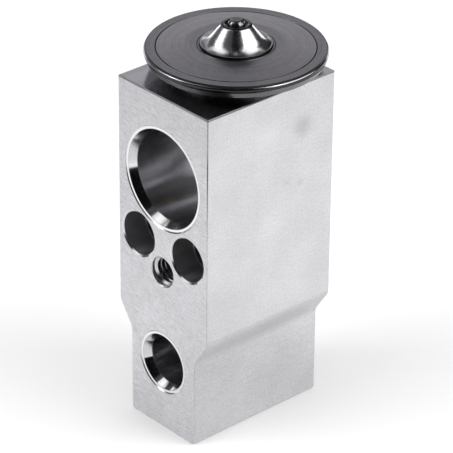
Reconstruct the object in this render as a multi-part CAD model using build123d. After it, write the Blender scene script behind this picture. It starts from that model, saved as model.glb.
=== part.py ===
from build123d import *
from math import cos, sqrt, tau
import os

# Block: a length of extruded bar, its outline lying in the port faces
block_width = 25.0
block_depth = 31.5
block_height = 71.0
foot_width = 18.15
shoulder_start = 23.25
shoulder_end = 18.3
shoulder_radius = 3.0
foot_corner_radius = 0.8
edge_break = 0.15

# The valve's own axis is upright and lies behind the middle of the block
valve_axis_y = 2.3

# Ports, bored from the front and back faces
suction_height = 54.0
suction_bore_radius = 9.05
suction_front_depth = 14.8
suction_back_depth = 8.6
suction_passage_radius = 8.8
inlet_height = 14.45
inlet_bore_radius = 5.0
inlet_depth = 9.5
inlet_feed_radius = 2.2
outlet_height = 28.6
outlet_bore_radius = 5.5
outlet_depth = 8.5
outlet_feed_radius = 2.8
port_edge_flare = 0.28
port_land_depth = 0.1
port_land_width = 0.45
port_lead_flare = 0.83
port_lead_depth = 1.57

# Bolt holes that go right through, sunk for cap heads, and the blind tapped hole
bolt_height = 39.7
bolt_spacing = 13.8
bolt_hole_radius = 2.75
bolt_head_radius = 4.4
bolt_head_depth = 5.5
bolt_edge_flare = 0.36
bolt_edge_depth = 0.2
tapped_height = 34.27
tapped_radius = 3.0
tapped_depth = 12.0
tapped_edge_flare = 0.15
drill_tip_slope = 0.6

# Upright bores on the valve's axis, from the base to the top
screw_thread_radius = 6.0
screw_bore_top = 5.5
screw_mouth_chamfer = 0.5
chamber_radius = 5.5
chamber_top = 21.5
seat_radius = 2.0
orifice_radius = 1.6
orifice_length = 3.1
upper_chamber_radius = 3.0
upper_chamber_height = 7.5
seal_pocket_depth = 2.8
neck_bore_radius = 6.5
neck_depth = 5.8
neck_thread_radius = 9.0
head_seal_section = 1.6

# Moving stem: plate, rod, pin, ball and carrier, all on the valve's axis
rod_radius = 2.5
rod_foot_length = 4.2
rod_stop_gap = 0.4
rod_end_chamfer = 0.4
pin_radius = 0.9
pin_socket_depth = 2.0
ball_radius = 2.4
stem_travel = 0.8
plate_thickness = 1.0
plate_stop_gap = 0.08
plate_boss_length = 4.4
plate_slot_radius = 1.3
plate_slots = 4
rod_socket_depth = 3.0
carrier_head_radius = 3.3
carrier_cup_depth = 1.6
carrier_head_height = 1.35
carrier_flange_overhang = 0.1
carrier_flange_thickness = 1.0
carrier_boss_length = 3.0

# Damper: a star of spring fingers that rub on the chamber's wall
damper_sheet = 0.25
damper_finger_height = 2.2
damper_fingers = 6
damper_finger_angle = 30

# Superheat spring
spring_radius = 4.1
spring_wire = 1.0
spring_turns = 4.5

# Adjusting screw, its bottom face sunk in the base
screw_recess = 1.2
screw_thread_length = 3.2
screw_groove_start = 5.4
screw_groove_slack = 0.1
screw_land = 0.5
screw_spigot_length = 2.4
screw_spigot_chamfer = 0.5
hex_across_flats = 5.0
hex_depth = 3.2
screw_seal_section = 1.4

# Rod seal, its washer and the toothed ring that holds them down
rod_seal_section = 1.2
seal_washer_thickness = 0.5
retainer_thickness = 0.35
retainer_band = 0.8
retainer_teeth = 8
retainer_notch_radius = 0.35

# Head: neck, pressed lower housing, diaphragm and pressed upper housing
collar_land = 0.85
collar_height = 1.1
neck_spigot_wall = 1.1
housing_floor_thickness = 1.0
flange_thickness = 1.7
flange_inset = 0.05
flange_bulge = 0.3
flange_bulge_drop = 0.42
flange_lip = 0.07
flange_foot_inset = 0.35
seam_drop = 0.85
seam_width = 0.2
seam_depth = 0.2
dish_inset = 4.55
diaphragm_inset = 0.45
diaphragm_thickness = 0.2
diaphragm_wave_width = 1.4
diaphragm_wave_depth = 0.45
cover_radius = 16.95
clamp_width = 3.35
cover_edge_height = 0.5
cover_edge_fillet = 0.12
cover_sheet = 0.45
groove_inset = 1.99
groove_width = 0.26
groove_depth = 0.12
crown_radius = 9.66
crown_rise = 0.36
foot_groove_gap = 0.53
foot_groove_width = 0.18
foot_groove_depth = 0.1
trench_width = 0.2
trench_depth = 0.14
cone_foot_radius = 6.74
cone_foot_height = 0.78
cone_rim_width = 0.2
cone_rim_rise = 0.04
cone_flare_inset = 1.95
cone_flare_height = 2.17
cone_tip_radius = 2.8
cone_tip_height = 4.6
cone_tip_fillet = 0.7
cone_sheet = 0.6
tip_lip = 0.5
tip_well_depth = 0.35
plug_hole_radius = 1.0
plug_radius = 1.62
plug_flat_radius = 0.85
plug_shoulder_radius = 1.5
plug_shoulder_rise = 0.63
plug_rise = 1.15
plug_shank_length = 1.4

# Clearances
running_gap = 0.05
thread_gap = 0.03
seat_gap = 0.05
contact_gap = 0.02
finger_gap = 0.08
guide_gap = 0.1
seal_side_gap = 0.075
spring_side_gap = 0.4
over = 1.0

# Heights and lengths that follow from the sizes above
front_y = -block_depth / 2
back_y = block_depth / 2
rod_bore_radius = rod_radius + running_gap
pin_guide_radius = pin_radius + running_gap
seat_depth = seat_radius - orifice_radius
upper_chamber_floor = chamber_top + seat_depth + orifice_length
upper_chamber_top = upper_chamber_floor + upper_chamber_height
seal_pocket_floor = suction_height - suction_passage_radius - seal_pocket_depth
seal_pocket_radius = rod_bore_radius + rod_seal_section + running_gap
rod_bottom = seal_pocket_floor - rod_foot_length
rod_bore_floor = rod_bottom - stem_travel - rod_stop_gap
neck_bottom = block_height - neck_depth
head_seal_pocket_floor = block_height - head_seal_section
head_seal_pocket_radius = neck_thread_radius + head_seal_section + 2 * seal_side_gap
collar_radius = head_seal_pocket_radius + collar_land
neck_spigot_radius = neck_bore_radius + neck_spigot_wall
dish_bottom = block_height + collar_height
cavity_floor = dish_bottom + housing_floor_thickness
plate_bottom = cavity_floor + plate_stop_gap + stem_travel
plate_top = plate_bottom + plate_thickness
flange_top = plate_top + contact_gap
flange_radius = cover_radius - flange_inset
flange_foot_radius = cover_radius - flange_foot_inset
dish_radius = cover_radius - dish_inset
diaphragm_radius = cover_radius - diaphragm_inset
cavity_radius = cover_radius - clamp_width
plate_radius = cavity_radius - diaphragm_wave_width
cover_bottom = flange_top + diaphragm_thickness
cover_edge_top = cover_bottom + cover_edge_height
plate_boss_bottom = plate_bottom - plate_boss_length
plate_boss_radius = neck_bore_radius - guide_gap
rod_top = plate_boss_bottom + rod_socket_depth - contact_gap
ball_height = chamber_top + seat_radius - sqrt(2) * ball_radius - seat_gap
pin_bottom = ball_height + ball_radius + contact_gap
pin_top = rod_bottom + pin_socket_depth - contact_gap
carrier_cup_bottom = ball_height - ball_radius - contact_gap
carrier_top = carrier_cup_bottom + carrier_cup_depth
carrier_flange_top = carrier_top - carrier_head_height
carrier_flange_bottom = carrier_flange_top - carrier_flange_thickness
screw_thread_top = screw_recess + screw_thread_length
screw_groove_bottom = screw_recess + screw_groove_start
screw_groove_top = screw_groove_bottom + screw_seal_section + screw_groove_slack
screw_top = screw_groove_top + screw_land
screw_slide_radius = chamber_radius - running_gap
screw_groove_floor_radius = chamber_radius - screw_seal_section - 2 * running_gap
spring_guide_radius = spring_radius - spring_wire / 2 - spring_side_gap
carrier_flange_radius = spring_radius + spring_wire / 2 + carrier_flange_overhang


def turned(outline):
    """Solid turned about the valve's axis from an outline of radius and height"""
    return Pos(0, valve_axis_y, 0) * revolve(Plane.XZ * outline, Axis.Z)


def turned_from(*points):
    """Solid turned about the valve's axis from corners of radius and height"""
    return turned(Polygon(*points, align=None))


def ring(inner_radius, outer_radius, bottom, top):
    """Plain ring about the valve's axis"""
    return turned_from((inner_radius, bottom), (outer_radius, bottom),
                       (outer_radius, top), (inner_radius, top))


def o_ring(inner_radius, section, bottom):
    """Round-section seal about the valve's axis, lying on a floor"""
    middle = (inner_radius + section / 2, bottom + section / 2)
    return turned(Pos(*middle) * Circle(section / 2))


def corner(outline, radius, height):
    """The outline's corner that lies nearest to a radius and a height"""
    return outline.vertices().sort_by_distance((radius, height, 0))[0]


def sunk(points, x, z, from_back=False):
    """Round cutter from corners of radius and depth, sunk into the front or the back face"""
    cutter = revolve(Plane.XZ * Polygon(*points, align=None), Axis.Z)
    if from_back:
        return Pos(x, back_y, z) * Rot(90, 0, 0) * cutter
    return Pos(x, front_y, z) * Rot(-90, 0, 0) * cutter


def port(bore_radius, depth, z, from_back=False):
    """Tube socket: a broken edge, a sunk land, a lead-in for the tube's seal and the bore"""
    lead_radius = bore_radius + port_lead_flare
    land_radius = lead_radius + port_land_width
    mouth_radius = land_radius + port_edge_flare
    bore_start = port_land_depth + port_lead_depth
    points = [(0, -over), (mouth_radius, -over), (mouth_radius, 0), (land_radius, port_land_depth),
              (lead_radius, port_land_depth), (bore_radius, bore_start), (bore_radius, depth), (0, depth)]
    return sunk(points, 0, z, from_back)


def passage(radius, start_y, end_y, z):
    """Plain round passage between two depths of the block"""
    return Pos(0, (start_y + end_y) / 2, z) * Rot(90, 0, 0) * Cylinder(radius, abs(end_y - start_y))


def bar():
    """The bar: wide above, narrow in the foot, with a sloping shoulder on both sides"""
    half, foot = block_width / 2, foot_width / 2
    right = [(foot, 0), (foot, shoulder_end), (half, shoulder_start), (half, block_height)]
    left = [(-x, z) for x, z in reversed(right)]
    outline = Polygon(*right, *left, align=None)
    shoulders = outline.vertices().filter_by_position(Axis.Y, shoulder_end, shoulder_start)
    outline = fillet(shoulders, shoulder_radius)
    outline = fillet(outline.vertices().group_by(Axis.Y)[0], foot_corner_radius)
    solid = extrude(Plane.XZ * outline, block_depth / 2, both=True)
    ends = solid.faces().sort_by(Axis.Y)
    top = solid.faces().sort_by(Axis.Z)[-1]
    rims = ends[0].edges() + ends[-1].edges() + top.edges().filter_by(Axis.Y)
    return chamfer(rims, edge_break)


def upright_bores():
    """All that is bored on the valve's axis, turned as one cutter"""
    mouth_radius = screw_thread_radius + screw_mouth_chamfer
    points = [(0, -over), (mouth_radius, -over), (mouth_radius, 0),
              (screw_thread_radius, screw_mouth_chamfer), (screw_thread_radius, screw_bore_top),
              (chamber_radius, screw_bore_top),
              (chamber_radius, chamber_top), (seat_radius, chamber_top),
              (orifice_radius, chamber_top + seat_depth), (orifice_radius, upper_chamber_floor),
              (upper_chamber_radius, upper_chamber_floor), (upper_chamber_radius, upper_chamber_top),
              (pin_guide_radius, upper_chamber_top), (pin_guide_radius, rod_bore_floor),
              (rod_bore_radius, rod_bore_floor), (rod_bore_radius, seal_pocket_floor),
              (seal_pocket_radius, seal_pocket_floor), (seal_pocket_radius, suction_height),
              (neck_bore_radius, suction_height), (neck_bore_radius, neck_bottom),
              (neck_thread_radius, neck_bottom), (neck_thread_radius, head_seal_pocket_floor),
              (head_seal_pocket_radius, head_seal_pocket_floor),
              (head_seal_pocket_radius, block_height + over), (0, block_height + over)]
    return turned_from(*points)


def bolt_holes():
    """Through holes for the flange bolts, with a pocket for the cap heads"""
    mouth_radius = bolt_head_radius + bolt_edge_flare
    through = block_depth + over
    points = [(0, -over), (mouth_radius, -over), (mouth_radius, 0), (bolt_head_radius, bolt_edge_depth),
              (bolt_head_radius, bolt_head_depth), (bolt_hole_radius, bolt_head_depth),
              (bolt_hole_radius, through), (0, through)]
    return [sunk(points, side * bolt_spacing / 2, bolt_height) for side in (-1, 1)]


def tapped_hole():
    """Blind hole with its drill tip, cut to the thread's outside"""
    mouth_radius = tapped_radius + tapped_edge_flare
    tip = tapped_depth + tapped_radius * drill_tip_slope
    points = [(0, -over), (mouth_radius, -over), (mouth_radius, 0), (tapped_radius, tapped_edge_flare),
              (tapped_radius, tapped_depth), (0, tip)]
    return sunk(points, 0, tapped_height)


def valve_body():
    front_bore_end = front_y + suction_front_depth
    back_bore_end = back_y - suction_back_depth
    cutters = [
        port(suction_bore_radius, suction_front_depth, suction_height),
        port(suction_bore_radius, suction_back_depth, suction_height, from_back=True),
        passage(suction_passage_radius, front_bore_end - over, back_bore_end + over, suction_height),
        port(inlet_bore_radius, inlet_depth, inlet_height),
        passage(inlet_feed_radius, front_y + inlet_depth - over, valve_axis_y, inlet_height),
        port(outlet_bore_radius, outlet_depth, outlet_height, from_back=True),
        passage(outlet_feed_radius, valve_axis_y, back_y - outlet_depth + over, outlet_height),
        *bolt_holes(),
        tapped_hole(),
        upright_bores(),
    ]
    return bar() - cutters


def screw_blank():
    """The adjusting screw without its socket: thread, slide, seal groove and spring spigot"""
    thread_radius = screw_thread_radius - running_gap
    tip_radius = spring_guide_radius - screw_spigot_chamfer
    spigot_top = screw_top + screw_spigot_length
    points = [(0, screw_recess), (thread_radius, screw_recess), (thread_radius, screw_thread_top),
              (screw_slide_radius, screw_thread_top), (screw_slide_radius, screw_groove_bottom),
              (screw_groove_floor_radius, screw_groove_bottom), (screw_groove_floor_radius, screw_groove_top),
              (screw_slide_radius, screw_groove_top), (screw_slide_radius, screw_top),
              (spring_guide_radius, screw_top), (spring_guide_radius, spigot_top - screw_spigot_chamfer),
              (tip_radius, spigot_top), (0, spigot_top)]
    return turned_from(*points)


def adjusting_screw():
    socket = RegularPolygon(hex_across_flats / 2, 6, major_radius=False)
    hollow = extrude(Pos(0, valve_axis_y, screw_recess) * socket, hex_depth)
    return screw_blank() - hollow


def screw_seal_ring():
    bottom = screw_groove_bottom + screw_groove_slack / 2
    return o_ring(screw_groove_floor_radius + running_gap, screw_seal_section, bottom)


def superheat_spring():
    """Coil spring with its ends ground flat on the screw and the carrier"""
    length = carrier_flange_bottom - screw_top
    path = Helix(length / spring_turns, length, spring_radius)
    wire = sweep(Plane(origin=path @ 0, z_dir=path % 0) * Circle(spring_wire / 2), path, is_frenet=True)
    ground = Cylinder(spring_radius + spring_wire, length, align=(Align.CENTER, Align.CENTER, Align.MIN))
    return Pos(0, valve_axis_y, screw_top) * (wire & ground)


def ball_carrier():
    """Cup for the ball, flange for the springs and a boss inside the coil"""
    boss_bottom = carrier_flange_bottom - carrier_boss_length
    blank = turned_from((0, boss_bottom), (spring_guide_radius, boss_bottom),
                        (spring_guide_radius, carrier_flange_bottom),
                        (carrier_flange_radius, carrier_flange_bottom),
                        (carrier_flange_radius, carrier_flange_top),
                        (carrier_head_radius, carrier_flange_top),
                        (carrier_head_radius, carrier_top), (0, carrier_top))
    return blank - Pos(0, valve_axis_y, ball_height) * Sphere(ball_radius + contact_gap)


def damper_spring():
    """Sheet ring on the carrier's flange with fingers bent up against the wall"""
    bottom = carrier_flange_top
    base = ring(carrier_head_radius + running_gap, carrier_flange_radius, bottom, bottom + damper_sheet)
    tip_radius = chamber_radius - finger_gap
    tip = bottom + damper_finger_height
    root_radius = carrier_flange_radius
    finger_outline = Polygon((root_radius - damper_sheet, bottom), (root_radius, bottom),
                             (tip_radius, tip), (tip_radius - damper_sheet, tip), align=None)
    finger = revolve(Plane.XZ * finger_outline, Axis.Z, damper_finger_angle)
    fingers = [Pos(0, valve_axis_y, 0) * Rot(0, 0, 360 / damper_fingers * i) * finger
               for i in range(damper_fingers)]
    return base + fingers


def valve_ball():
    return Pos(0, valve_axis_y, ball_height) * Sphere(ball_radius)


def push_pin():
    return ring(0, pin_radius, pin_bottom, pin_top)


def sensing_rod():
    """Rod across the suction passage, with chamfered ends and a socket for the pin"""
    inner = rod_radius - rod_end_chamfer
    socket_radius = pin_radius + contact_gap
    socket_top = rod_bottom + pin_socket_depth
    return turned_from((socket_radius, rod_bottom), (inner, rod_bottom),
                       (rod_radius, rod_bottom + rod_end_chamfer),
                       (rod_radius, rod_top - rod_end_chamfer), (inner, rod_top), (0, rod_top),
                       (0, socket_top), (socket_radius, socket_top))


def rod_seal_ring():
    return o_ring(rod_bore_radius, rod_seal_section, seal_pocket_floor)


def seal_washer():
    bottom = seal_pocket_floor + rod_seal_section
    return ring(rod_bore_radius, seal_pocket_radius - running_gap, bottom, bottom + seal_washer_thickness)


def seal_retainer():
    """Push-in ring, notched round its edge so that its teeth grip the pocket's wall"""
    bottom = seal_pocket_floor + rod_seal_section + seal_washer_thickness
    band = ring(seal_pocket_radius - retainer_band, seal_pocket_radius - contact_gap,
                bottom, bottom + retainer_thickness)
    notch = Cylinder(retainer_notch_radius, 2 * retainer_thickness)
    notches = PolarLocations(seal_pocket_radius, retainer_teeth)
    place = Pos(0, valve_axis_y, bottom + retainer_thickness / 2)
    return band - [place * spot * notch for spot in notches]


def diaphragm_plate():
    """Plate under the diaphragm, its slotted boss guided in the neck and socketed for the rod"""
    blank = turned_from((0, plate_boss_bottom), (plate_boss_radius, plate_boss_bottom),
                        (plate_boss_radius, plate_bottom), (plate_radius, plate_bottom),
                        (plate_radius, plate_top), (0, plate_top))
    socket = ring(0, rod_radius + contact_gap, plate_boss_bottom - over, plate_boss_bottom + rod_socket_depth)
    slot = Cylinder(plate_slot_radius, plate_boss_length, align=(Align.CENTER, Align.CENTER, Align.MIN))
    place = Pos(0, valve_axis_y, plate_boss_bottom)
    slots = [place * spot * slot for spot in PolarLocations(plate_boss_radius, plate_slots)]
    return blank - socket - slots


def threaded_neck():
    """Tube that screws into the block, with a collar on its top face and a spigot in the housing"""
    outside = neck_thread_radius - thread_gap
    return turned_from((neck_bore_radius, neck_bottom + contact_gap), (outside, neck_bottom + contact_gap),
                       (outside, block_height), (collar_radius, block_height), (collar_radius, dish_bottom),
                       (neck_spigot_radius, dish_bottom), (neck_spigot_radius, cavity_floor),
                       (neck_bore_radius, cavity_floor))


def head_seal_ring():
    pocket_middle = (neck_thread_radius + head_seal_pocket_radius) / 2
    return o_ring(pocket_middle - head_seal_section / 2, head_seal_section, head_seal_pocket_floor)


def lower_housing():
    """Pressed dish: thick rolled flange with a seam round it, drawn in to the neck's collar"""
    flange_bottom = flange_top - flange_thickness
    edge = Polyline((flange_foot_radius, flange_bottom), (dish_radius, dish_bottom),
                    (neck_spigot_radius + contact_gap, dish_bottom),
                    (neck_spigot_radius + contact_gap, cavity_floor), (cavity_radius, cavity_floor),
                    (cavity_radius, flange_top), (flange_radius, flange_top))
    lip_radius = flange_radius + flange_lip
    seam_height = flange_top - seam_drop
    bulge = ThreePointArc((flange_radius, flange_top),
                          (flange_radius + flange_bulge, flange_top - flange_bulge_drop),
                          (lip_radius, seam_height + seam_width / 2))
    seam = Polyline((lip_radius, seam_height + seam_width / 2), (lip_radius - seam_depth, seam_height),
                    (lip_radius, seam_height - seam_width / 2), (flange_foot_radius, flange_bottom))
    return turned(make_face(edge + bulge + seam))


def diaphragm():
    """Thin sheet clamped at its rim, with one wave outside the plate"""
    wave_start, wave_end = plate_radius, cavity_radius
    steps = 12
    wave = [(wave_start + (wave_end - wave_start) * i / steps,
             flange_top - diaphragm_wave_depth * (1 - cos(tau * i / steps)) / 2) for i in range(steps + 1)]
    lower = [(0, flange_top), *wave, (diaphragm_radius, flange_top)]
    upper = [(radius, height + diaphragm_thickness) for radius, height in reversed(lower)]
    return turned_from(*lower, *upper)


def upper_housing():
    """Pressed cover: flat rim with a turned groove, low crown and hollow flared cone up to the plug"""
    crown_height = cover_edge_top + crown_rise
    foot_height = cover_edge_top + cone_foot_height
    tip_height = cover_edge_top + cone_tip_height
    well_floor = tip_height - tip_well_depth
    trench_radius = cone_foot_radius + trench_width
    trench_floor = crown_height - trench_depth
    foot_groove_radius = cone_foot_radius + foot_groove_gap
    foot_groove_floor = crown_height - foot_groove_depth
    groove_radius = cover_radius - groove_inset
    groove_floor = cover_edge_top - groove_depth
    tip = (cone_tip_radius, tip_height)
    flare_top = (cone_foot_radius - cone_flare_inset, cover_edge_top + cone_flare_height)
    flare_end = (cone_foot_radius - cone_rim_width, foot_height + cone_rim_rise)
    disc = Polyline((cover_radius, cover_bottom), (cover_radius, cover_edge_top),
                    (groove_radius + groove_width / 2, cover_edge_top), (groove_radius, groove_floor),
                    (groove_radius - groove_width / 2, cover_edge_top), (crown_radius, crown_height),
                    (foot_groove_radius + foot_groove_width / 2, crown_height),
                    (foot_groove_radius, foot_groove_floor),
                    (foot_groove_radius - foot_groove_width / 2, crown_height),
                    (trench_radius, crown_height), (cone_foot_radius, trench_floor),
                    (cone_foot_radius, foot_height), flare_end)
    slope = (flare_top[0] - tip[0], flare_top[1] - tip[1])
    flare = TangentArc(flare_top, flare_end, tangent=slope)
    tip_and_inside = Polyline(flare_top, tip, (cone_tip_radius - tip_lip, tip_height),
                              (plug_radius + contact_gap, well_floor),
                              (plug_hole_radius + contact_gap, well_floor),
                              (plug_hole_radius + contact_gap, well_floor - cone_sheet),
                              (cone_tip_radius - cone_sheet, well_floor - cone_sheet),
                              (cone_foot_radius - cone_sheet, crown_height - cover_sheet),
                              (crown_radius, crown_height - cover_sheet),
                              (cavity_radius, cover_bottom), (cover_radius, cover_bottom))
    outline = make_face(disc + flare + tip_and_inside)
    outline = fillet(corner(outline, *tip), cone_tip_fillet)
    outline = fillet(corner(outline, cover_radius, cover_edge_top), cover_edge_fillet)
    return turned(outline)


def charge_plug():
    """Plug that closes the charging hole: a domed head with a small flat on a shank"""
    seat = cover_edge_top + cone_tip_height - tip_well_depth
    top = seat + plug_rise
    dome = ThreePointArc((plug_radius, seat), (plug_shoulder_radius, seat + plug_shoulder_rise),
                         (plug_flat_radius, top))
    shank_bottom = seat - plug_shank_length
    rest = Polyline((plug_flat_radius, top), (0, top), (0, shank_bottom), (plug_hole_radius, shank_bottom),
                    (plug_hole_radius, seat), (plug_radius, seat))
    return turned(make_face(dome + rest))


parts = {
    "valve_body": valve_body(),
    "adjusting_screw": adjusting_screw(),
    "screw_seal_ring": screw_seal_ring(),
    "superheat_spring": superheat_spring(),
    "ball_carrier": ball_carrier(),
    "damper_spring": damper_spring(),
    "valve_ball": valve_ball(),
    "push_pin": push_pin(),
    "sensing_rod": sensing_rod(),
    "rod_seal_ring": rod_seal_ring(),
    "seal_washer": seal_washer(),
    "seal_retainer": seal_retainer(),
    "diaphragm_plate": diaphragm_plate(),
    "threaded_neck": threaded_neck(),
    "head_seal_ring": head_seal_ring(),
    "lower_housing": lower_housing(),
    "diaphragm": diaphragm(),
    "upper_housing": upper_housing(),
    "charge_plug": charge_plug(),
}

os.makedirs("parts", exist_ok=True)
for node, shape in parts.items():
    export_step(shape, f"parts/{node}.step")
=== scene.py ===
from math import cos, radians, sin, tan, tau

import bmesh
import bpy
from mathutils import Matrix, Vector


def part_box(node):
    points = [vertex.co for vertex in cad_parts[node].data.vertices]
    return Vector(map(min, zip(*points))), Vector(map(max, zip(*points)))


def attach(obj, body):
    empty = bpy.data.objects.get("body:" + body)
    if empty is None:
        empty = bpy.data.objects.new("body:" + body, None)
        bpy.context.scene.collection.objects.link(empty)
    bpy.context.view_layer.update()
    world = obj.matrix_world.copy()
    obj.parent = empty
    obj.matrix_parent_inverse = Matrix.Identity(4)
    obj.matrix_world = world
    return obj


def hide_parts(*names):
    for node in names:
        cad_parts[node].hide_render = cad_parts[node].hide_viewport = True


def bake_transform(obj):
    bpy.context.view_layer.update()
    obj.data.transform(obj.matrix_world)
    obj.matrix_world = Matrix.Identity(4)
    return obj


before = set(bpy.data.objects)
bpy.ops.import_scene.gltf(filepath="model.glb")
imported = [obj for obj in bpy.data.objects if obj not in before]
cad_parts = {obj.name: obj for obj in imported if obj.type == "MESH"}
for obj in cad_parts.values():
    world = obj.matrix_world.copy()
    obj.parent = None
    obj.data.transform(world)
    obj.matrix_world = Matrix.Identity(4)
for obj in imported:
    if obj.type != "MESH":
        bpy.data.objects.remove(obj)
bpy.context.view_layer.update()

MM = 0.001

# Places on the part that the finishes follow, in millimetres, as in the CAD source
VALVE_AXIS_Y = 2.3
BLOCK_HALF_WIDTH = 12.5
BLOCK_HALF_DEPTH = 15.75
BLOCK_HEIGHT = 71.0
# Each port's wall grey is lower in the narrow bores, as painted shade
PORTS = {  # name: (x, z, bore radius, side: -1 front, 1 back, 0 both, wall's grey)
    "suction": (0.0, 54.0, 9.05, 0, 0.87),
    "inlet": (0.0, 14.45, 5.0, -1, 0.66),
    "outlet": (0.0, 28.6, 5.5, 1, 0.66),
}
PORT_LEAD_FLARE = 0.83
PORT_LAND_WIDTH = 0.45
PORT_EDGE_FLARE = 0.28
PORT_EDGE_TILT = 30.0
BOLT_MOUTHS = [(-6.9, 39.7, 4.76), (6.9, 39.7, 4.76)]
BOLT_HEAD_RADIUS = 4.4
BOLT_HEAD_DEPTH = 5.5
TAPPED_MOUTH = (0.0, 34.27, 3.15)
SCREW_BORE_RADIUS = 6.7
NECK_POCKET_RADIUS = 10.8
NECK_POCKET_FLOOR = 64.0
GROOVE_RADIUS = 14.96
CROWN_RADIUS = 9.66
FOOT_GROOVE_RADIUS = 7.27
CONE_FOOT_RADIUS = 6.74
CONE_FOOT_HEIGHT = 76.48
CONE_TIP_RADIUS = 2.8
CONE_TIP_INNER_RADIUS = 2.3
COVER_RADIUS = 16.95
COVER_TOP = 75.7

# Head's lower housing: (radius, height) down its outside, up its inside and out to the flange's
# edge, then the lip that is rolled up round the cover's edge, and the seam under the lip
HOUSING_DISH = [(16.6, 73.3), (12.4, 72.1), (7.62, 72.1), (7.62, 73.1), (13.6, 73.1), (13.6, 75.0),
                (16.96, 75.0)]
HOUSING_RIM_RADIUS = 17.19
HOUSING_LIP_TOP = 75.35
LIP_HALF_WIDTH = 0.2
LIP_ANGLES = range(96, -86, -13)
SEAM_HEIGHT = 74.53
SEAM_DEPTH = 0.24
SEAM_FOOT = [(0.17, 0.07), (0.12, 0.16)]  # inwards from the rim, down from the seam
HOUSING_SEGMENTS = 192
HOUSING_SHARP_ANGLE = 32.0

# End coil of the superheat spring, and how its halves are cut
SPRING_END_COIL = 1.0
SPRING_WELD = 0.001
SPRING_SHARP_ANGLE = 40.0

# Tapped hole's thread, M6 x 1. The shares are of one pitch, the runout is in turns, the bite is
# how far its root lies in the hole's wall, and the least is the ridge's height at its very ends,
# as a share of the full one.
THREAD_MAJOR = 3.0
THREAD_MINOR = 2.46
THREAD_PITCH = 1.0
THREAD_ROOT_SHARE = 0.4375
THREAD_CREST_SHARE = 0.125
THREAD_START = 0.1
THREAD_END = 10.6
THREAD_RUNOUT = 0.4
THREAD_BITE = 0.02
THREAD_LEAST = 0.02
THREAD_STEPS = 48

# Camera, fitted to the photograph
CAMERA_PLACE = (387.53, -350.31, 329.21)
CAMERA_AZIMUTH = 47.862
CAMERA_ELEVATION = 29.108
CAMERA_ROLL = 0.545
CAMERA_LENS = 250.08
CAMERA_SENSOR = 36.0
CAMERA_CLIP = (0.01, 20.0)

# Floor, set just under the part, and the distances from the part over which it fades to white
FLOOR_SIZE = 6000.0
FLOOR_DROP = 0.02
FLOOR_FADE = (120.0, 420.0)

# Sheet of white paper that the part stands on, as its polished metal shows it: where each edge
# fades, towards the camera and to its right, and the greyer strip along the sheet's middle
PAPER_FRONT = (170.0, 260.0)
PAPER_BACK = (-215.0, -185.0)
PAPER_LEFT = (-290.0, -240.0)
PAPER_RIGHT = (240.0, 280.0)
PAPER_MIDDLE = (15.0, 60.0)
PAPER_MIDDLE_GREY = 0.72
WHITE = (1, 1, 1)
FLOOR_TINT = (0.86, 0.86, 0.86)
TABLE_TINT = (0.012, 0.012, 0.014)

# Studio cards that only shiny surfaces see: azimuths and elevations from the camera's azimuth,
# brightness, soft edge in degrees, distance in mm. The nearer of two cards hides the other.
CARDS = {
    "softbox_right": ((42, 108), (8, 62), (1.7, 1.7, 1.7), 6.0, 700.0),
    "softbox_right_high": ((90, 126), (46, 75), (1.2, 1.2, 1.2), 8.0, 705.0),
    "softbox_left": ((-108, -72), (8, 62), (1.2, 1.2, 1.2), 7.0, 700.0),
    "softbox_left_high": ((-130, -92), (46, 75), (1.1, 1.1, 1.1), 8.0, 705.0),
    "lamp_core_right": ((53, 67), (38, 50), (10.0, 10.0, 10.0), 2.0, 650.0),
    "lamp_core_left": ((-101, -87), (34, 46), (9.0, 9.0, 9.0), 2.0, 650.0),
    "black_over": ((-70, 42), (-14, 79), (0.003, 0.003, 0.003), 4.0, 720.0),
    "grey_over_left": ((-78, -22), (30, 84), (0.06, 0.06, 0.065), 10.0, 715.0),
    "black_zenith": ((0, 360), (71, 89.9), (0.01, 0.01, 0.012), 4.0, 730.0),
    "back_low": ((148, 212), (9, 32), (0.42, 0.41, 0.45), 10.0, 725.0),
    "back_middle": ((148, 212), (28, 50), (0.15, 0.147, 0.16), 8.0, 724.0),
    "back_high": ((118, 242), (44, 80), (0.04, 0.04, 0.045), 8.0, 726.0),
    "valley_right": ((104, 164), (-3, 48), (0.03, 0.03, 0.033), 6.0, 690.0),
    "valley_left": ((-142, -104), (-3, 46), (0.07, 0.07, 0.075), 6.0, 690.0),
    "back_left": ((-162, -138), (3, 44), (0.24, 0.24, 0.26), 6.0, 692.0),
    "low_right": ((30, 110), (-3, 9), (0.02, 0.02, 0.02), 3.0, 600.0),
    "low_left": ((-112, -54), (-3, 9), (0.02, 0.02, 0.02), 3.0, 600.0),
    "sweep_right": ((133, 156), (-9, 12), (1.8, 1.8, 1.8), 4.0, 280.0),
    "sweep_left": ((-156, -133), (-9, 12), (1.8, 1.8, 1.8), 4.0, 280.0),
}
CARD_CENTRE = (0, 0, 50)
CARD_COLUMNS, CARD_ROWS = 24, 12

# Lamps that only matt surfaces see: azimuth, elevation, distance, size, watts
LAMPS = {
    "lamp_right": (70, 45, 900, 600, 4.0),
    "lamp_left": (-70, 45, 900, 600, 4.0),
}
LAMP_TARGET = (0, 0, 40)
SKY_LEVEL = 0.75

# Painted sheen, lengthwise bands of painted reflection in the ports' bores: heights from the axis
# in bore radii, half width, softness
WALL_SHEEN_BASE = 0.66
WALL_SHEEN_BANDS = [(-0.36, 0.26, 0.3), (-0.945, 0.03, 0.05), (0.5, 0.1, 0.2)]
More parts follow.
